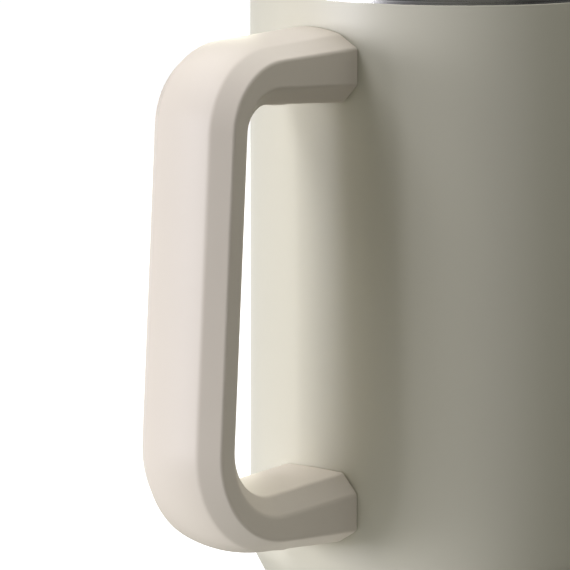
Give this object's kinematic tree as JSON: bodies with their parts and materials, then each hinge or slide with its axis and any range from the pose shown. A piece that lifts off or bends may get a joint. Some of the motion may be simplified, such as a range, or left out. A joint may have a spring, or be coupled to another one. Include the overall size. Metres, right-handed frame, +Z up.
{
  "type": "insulated tumbler",
  "caption": "Double-walled steel tumbler with a bevelled side handle, a narrow lower section, a press-in lid with a flip tab over the sip opening, and a straw.",
  "frame": {"origin": "centre of the base pad's lower face, where the cup stands", "axes": "+Z up along the cup's axis, +X towards the handle, -Y towards the sip opening at rest"},
  "size_m": [0.1483, 0.1, 0.311],
  "materials": {
    "cup_coat": "satin powder coat",
    "bare_steel": "fine brushed stainless steel",
    "handle_plastic": "satin moulded",
    "core_plastic": "moulded, hidden",
    "lid_plastic": "satin moulded",
    "silicone": "soft silicone",
    "pad_rubber": "matt silicone",
    "straw_plastic": "frosted",
    "getter_metal": "sintered",
    "seal_glass": "fused bead"
  },
  "bodies": {
    "cup": {"outer_shell": "cup_coat", "inner_liner": "bare_steel", "shell_base": "bare_steel", "vacuum_seal": "seal_glass", "vacuum_getter": "getter_metal", "base_pad": "pad_rubber", "upper_bracket": "bare_steel", "lower_bracket": "bare_steel", "handle_core": "core_plastic", "handle_grip": "handle_plastic", "handle_screws": "bare_steel", "upper_plug": "handle_plastic", "lower_plug": "handle_plastic"},
    "seal_ring": {"lid_gasket": "silicone"},
    "lid": {"lid_shell": "lid_plastic", "lid_floor": "lid_plastic", "straw_grommet": "silicone", "hinge_pin": "bare_steel"},
    "tab": {"flip_tab": "lid_plastic", "tab_seal": "silicone"},
    "drinking_straw": {"straw": "straw_plastic"}
  },
  "joints": [
    {"name": "lid_lift", "type": "slide", "parent": "cup", "child": "seal_ring", "axis": [0, 0, 1], "range_m": [0, 0.25]},
    {"name": "lid_turn", "type": "hinge", "parent": "seal_ring", "child": "lid", "pos_m": [0, 0, 0.236], "axis": [0, 0, 1], "continuous": true},
    {"name": "tab_flip", "type": "hinge", "parent": "lid", "child": "tab", "pos_m": [0, -0.006, 0.2507], "axis": [-1, 0, 0], "range_deg": [0, 105]},
    {"name": "straw_slide", "type": "slide", "parent": "lid", "child": "drinking_straw", "axis": [0, 0, 1], "range_m": [0, 0.238]}
  ]
}
